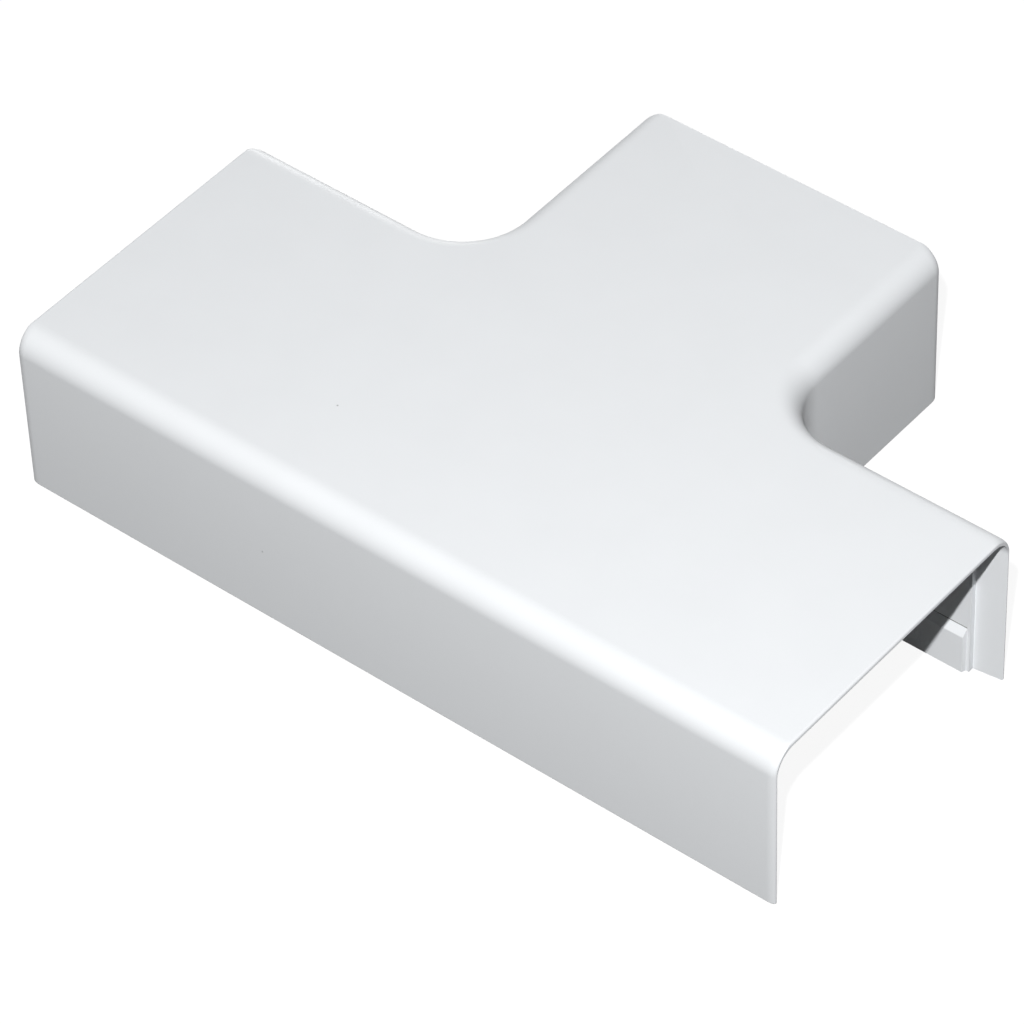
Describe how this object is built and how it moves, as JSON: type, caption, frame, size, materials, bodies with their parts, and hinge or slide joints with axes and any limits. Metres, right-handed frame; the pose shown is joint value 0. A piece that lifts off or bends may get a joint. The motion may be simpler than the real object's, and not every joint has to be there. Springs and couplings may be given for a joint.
{
  "type": "trunking tee fitting",
  "caption": "White moulded tee cover for surface cable trunking, open underneath, with a socket and clip bands at each mouth.",
  "frame": {"origin": "middle of the cover's outer size in plan, in the plane of the foot that sits on the wall", "axes": "+X along the run towards its right mouth, +Y towards the branch mouth, +Z from the foot to the top plate"},
  "size_m": [0.102, 0.0706, 0.022],
  "materials": {
    "tee_cover": "smooth white moulded PVC with a slight sheen"
  },
  "bodies": {
    "root": {"tee_cover": "tee_cover"}
  },
  "joints": []
}
